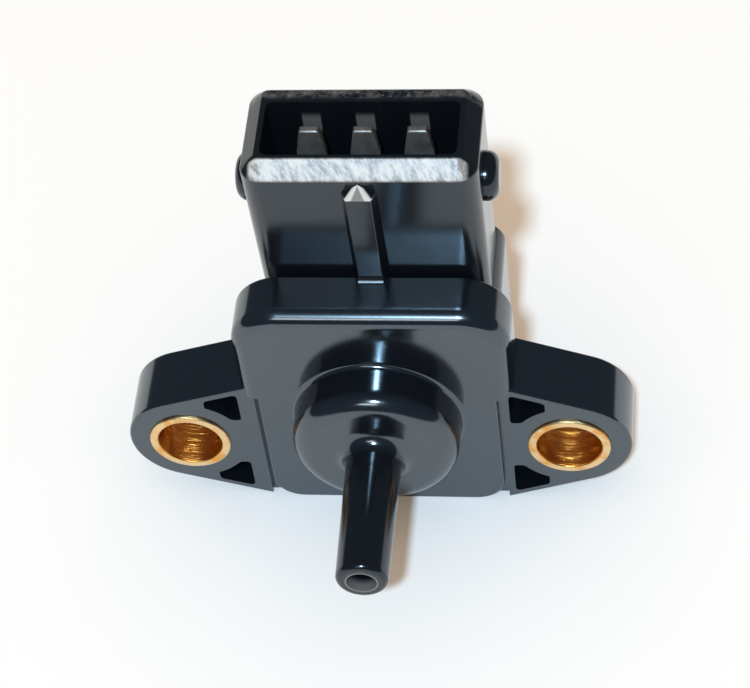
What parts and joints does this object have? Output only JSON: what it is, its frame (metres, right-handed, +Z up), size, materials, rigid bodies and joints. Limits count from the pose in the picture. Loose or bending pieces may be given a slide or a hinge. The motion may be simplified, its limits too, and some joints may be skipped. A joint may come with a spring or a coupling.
{
  "type": "manifold absolute pressure sensor",
  "caption": "Moulded manifold pressure sensor with a hose nipple on a round boss, bushed bolt ears and an upright blade-terminal plug socket.",
  "frame": {"origin": "middle of the flat underside on which the sensor stands, on the housing's middle plane", "axes": "+X to the right seen from the nipple's side, +Y back, away from the nipple, +Z up towards the plug socket"},
  "size_m": [0.0506, 0.0361, 0.0443],
  "materials": {
    "housing": "glossy black moulded thermoplastic with a fine satin grain",
    "bush": "turned brass, bright ends",
    "terminal": "tin-plated blade, dull grey",
    "cover": "black moulded lid",
    "seal": "black silicone rubber",
    "board": "green glass-fibre board",
    "case": "black moulded compound",
    "glass": "pale sealing glass",
    "silicon": "grey polished silicon",
    "lead": "tinned lead frame",
    "chip": "black moulded package",
    "capacitor": "brown ceramic",
    "resistor": "black film on ceramic",
    "solder": "solder"
  },
  "bodies": {
    "root": {"housing": "housing", "left_bush": "bush", "right_bush": "bush", "terminal_left": "terminal", "terminal_middle": "terminal", "terminal_right": "terminal", "rear_cover": "cover", "cover_seal": "seal", "circuit_board": "board", "sensor_case": "case", "port_seal": "seal", "glass_base": "glass", "pressure_die": "silicon", "reference_cap": "silicon", "case_lead_1": "lead", "case_lead_2": "lead", "case_lead_3": "lead", "case_lead_4": "lead", "case_lead_5": "lead", "case_lead_6": "lead", "signal_chip": "chip", "filter_capacitor_1": "capacitor", "filter_capacitor_2": "capacitor", "filter_capacitor_3": "capacitor", "filter_capacitor_4": "capacitor", "trim_resistor_1": "resistor", "trim_resistor_2": "resistor", "solder_joint_left": "solder", "solder_joint_middle": "solder", "solder_joint_right": "solder"}
  },
  "joints": []
}
